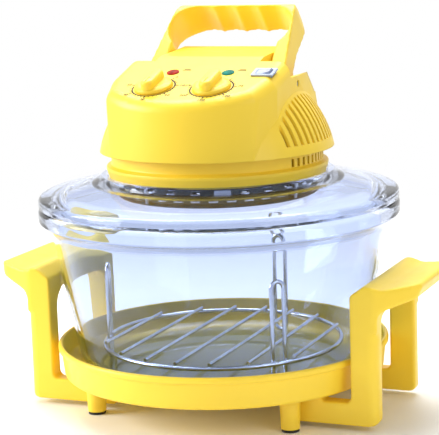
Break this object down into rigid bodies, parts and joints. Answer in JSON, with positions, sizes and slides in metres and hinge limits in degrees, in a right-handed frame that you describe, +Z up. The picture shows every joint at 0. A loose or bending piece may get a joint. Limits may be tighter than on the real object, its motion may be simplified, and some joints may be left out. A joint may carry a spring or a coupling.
{
  "type": "halogen oven",
  "caption": "Countertop halogen oven: glass bowl in a footed tray with two side handles, lift-off glass lid and a head with lamp, fans, dials, rocker switch and folding carrying handle",
  "frame": {"origin": "on the table, under the middle of the object's overall box", "axes": "+Z is up, the control panel faces -Y and the side handles stand along X"},
  "size_m": [0.4026, 0.325, 0.3559],
  "materials": {
    "yellow_plastic": "glossy moulded plastic",
    "clear_glass": "clear pressed glass",
    "rack_chrome": "plated wire",
    "screw_steel": "turned steel",
    "sheet_steel": "pressed sheet",
    "sheet_aluminium": "bright sheet",
    "guard_steel": "dark heat-proof paint",
    "black_rubber": "moulded rubber",
    "seal_silicone": "silicone ring",
    "lamp_quartz": "quartz tube",
    "lamp_ceramic": "white ceramic, matt",
    "bulb_copper": "copper",
    "motor_iron": "laminated core",
    "bush_brass": "turned brass",
    "dial_body_plastic": "moulded, matt",
    "lens_red": "clear red lens",
    "lens_green": "clear green lens",
    "switch_grey": "glossy moulded plastic",
    "black_plastic": "moulded, matt"
  },
  "bodies": {
    "base": {"base_tray": "yellow_plastic", "tray_rim": "yellow_plastic", "side_handle_left": "yellow_plastic", "side_handle_right": "yellow_plastic", "handle_screws": "screw_steel", "foot_pads": "black_rubber", "foot_screws": "screw_steel"},
    "bowl": {"glass_bowl": "clear_glass"},
    "rack": {"rack_ring": "rack_chrome", "rack_wires": "rack_chrome", "rack_loops": "rack_chrome"},
    "lid": {"glass_lid": "clear_glass", "lid_seal": "seal_silicone", "lid_clamps": "sheet_steel", "head_base": "yellow_plastic", "head_cover": "yellow_plastic", "cover_screws": "screw_steel", "heat_shield": "sheet_aluminium", "reflector": "sheet_aluminium", "halogen_lamp": "lamp_quartz", "lamp_end_caps": "lamp_ceramic", "lamp_clips": "sheet_steel", "lamp_guard": "guard_steel", "guard_posts": "sheet_steel", "thermostat_bulb": "bulb_copper", "motor_frame": "motor_iron", "motor_bracket": "sheet_steel", "motor_bushes": "bush_brass", "timer_body": "dial_body_plastic", "thermostat_body": "dial_body_plastic", "red_lens": "lens_red", "green_lens": "lens_green", "switch_bezel": "switch_grey", "handle_pins": "screw_steel", "interlock_switch": "black_plastic", "power_inlet": "black_plastic", "inlet_pins": "bush_brass"},
    "rotor": {"motor_shaft": "screw_steel", "hot_air_fan": "sheet_aluminium", "cooling_fan": "sheet_aluminium", "fan_nut": "bush_brass"},
    "carry_handle": {"carrying_handle": "yellow_plastic"},
    "timer_dial": {"timer_knob": "yellow_plastic", "timer_shaft": "screw_steel"},
    "thermostat_dial": {"thermostat_knob": "yellow_plastic", "thermostat_shaft": "screw_steel"},
    "rocker": {"switch_rocker": "switch_grey"}
  },
  "joints": [
    {"name": "bowl_lift", "type": "slide", "parent": "base", "child": "bowl", "axis": [0, 0, 1], "range_m": [0, 0.1]},
    {"name": "rack_lift", "type": "slide", "parent": "bowl", "child": "rack", "axis": [0, 0, 1], "range_m": [0, 0.05]},
    {"name": "lid_lift", "type": "slide", "parent": "bowl", "child": "lid", "axis": [0, 0, 1], "range_m": [0, 0.15]},
    {"name": "fan_spin", "type": "hinge", "parent": "lid", "child": "rotor", "pos_m": [0, 0, 0.22], "axis": [0, 0, 1], "continuous": true},
    {"name": "carry_fold", "type": "hinge", "parent": "lid", "child": "carry_handle", "pos_m": [0, 0.002, 0.2904], "axis": [1, 0, 0], "range_deg": [-30, 45]},
    {"name": "timer_turn", "type": "hinge", "parent": "lid", "child": "timer_dial", "pos_m": [-0.027, -0.0715, 0.29397], "axis": [0, -0.3007, 0.9537], "range_deg": [-300, 0]},
    {"name": "thermostat_turn", "type": "hinge", "parent": "lid", "child": "thermostat_dial", "pos_m": [0.027, -0.0715, 0.29397], "axis": [0, -0.3007, 0.9537], "range_deg": [-270, 0]},
    {"name": "rocker_tilt", "type": "hinge", "parent": "lid", "child": "rocker", "pos_m": [0.0635, -0.041, 0.30359], "axis": [0, 0.9537, 0.3007], "range_deg": [0, 16]}
  ]
}
